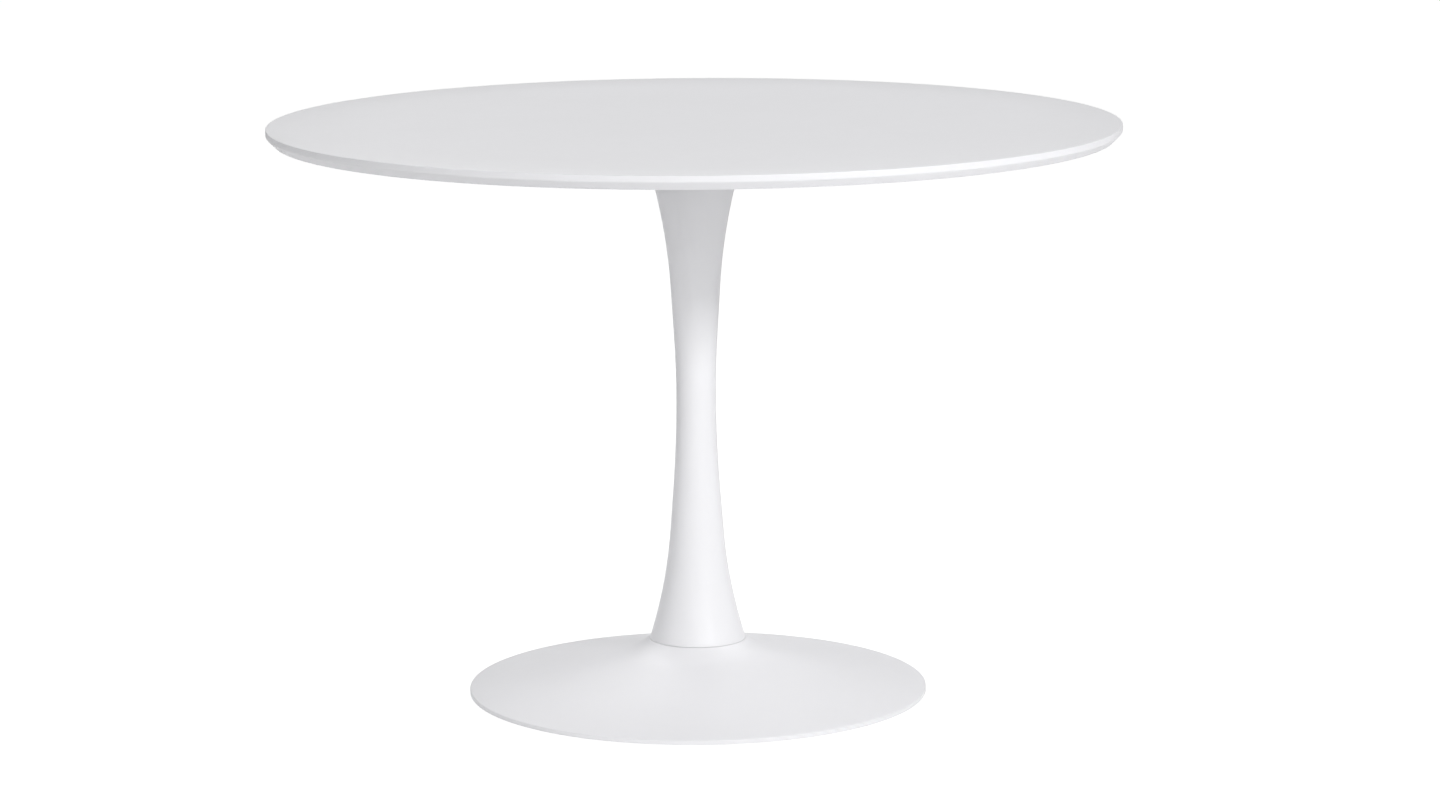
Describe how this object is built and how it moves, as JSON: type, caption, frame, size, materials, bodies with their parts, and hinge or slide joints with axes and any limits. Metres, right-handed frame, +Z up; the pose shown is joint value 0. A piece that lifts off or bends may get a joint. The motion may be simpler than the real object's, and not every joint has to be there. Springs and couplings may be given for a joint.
{
  "type": "round pedestal table",
  "caption": "Round dining table: a thin disc top with an undercut edge on a slim trumpet column that stands on a low conical base.",
  "frame": {"origin": "on the floor, on the table's vertical axis", "axes": "+Z up the column from the base to the tabletop; +X and +Y are level, and the first screw and the first glide lie on +X"},
  "size_m": [1.1, 1.1, 0.75],
  "materials": {
    "top_lacquer": "fibreboard with a matt white lacquer",
    "column_powder_coat": "satin white powder coat",
    "base_powder_coat": "satin white powder coat",
    "plate_black_coat": "fine-textured black coat",
    "zinc_steel": "bright zinc plate",
    "welded_steel": "plain mild steel",
    "insert_brass": "turned",
    "cast_iron": "primed casting",
    "glide_nylon": "moulded"
  },
  "bodies": {
    "root": {"tabletop": "top_lacquer", "top_insert_1": "insert_brass", "top_insert_2": "insert_brass", "top_insert_3": "insert_brass", "top_insert_4": "insert_brass", "top_insert_5": "insert_brass", "top_insert_6": "insert_brass", "top_insert_7": "insert_brass", "top_insert_8": "insert_brass", "top_screw_1": "zinc_steel", "top_screw_2": "zinc_steel", "top_screw_3": "zinc_steel", "top_screw_4": "zinc_steel", "top_screw_5": "zinc_steel", "top_screw_6": "zinc_steel", "top_screw_7": "zinc_steel", "top_screw_8": "zinc_steel", "mounting_plate": "plate_black_coat", "plate_hub": "welded_steel", "column_shell": "column_powder_coat", "column_head_collar": "welded_steel", "column_foot_collar": "welded_steel", "tie_rod": "zinc_steel", "base_cover": "base_powder_coat", "base_casting": "cast_iron", "glide_1": "glide_nylon", "glide_2": "glide_nylon", "glide_3": "glide_nylon", "glide_4": "glide_nylon", "glide_5": "glide_nylon", "glide_6": "glide_nylon", "glide_7": "glide_nylon", "glide_8": "glide_nylon", "clamp_washer": "zinc_steel", "spring_washer": "zinc_steel", "tie_rod_nut": "zinc_steel"}
  },
  "joints": []
}
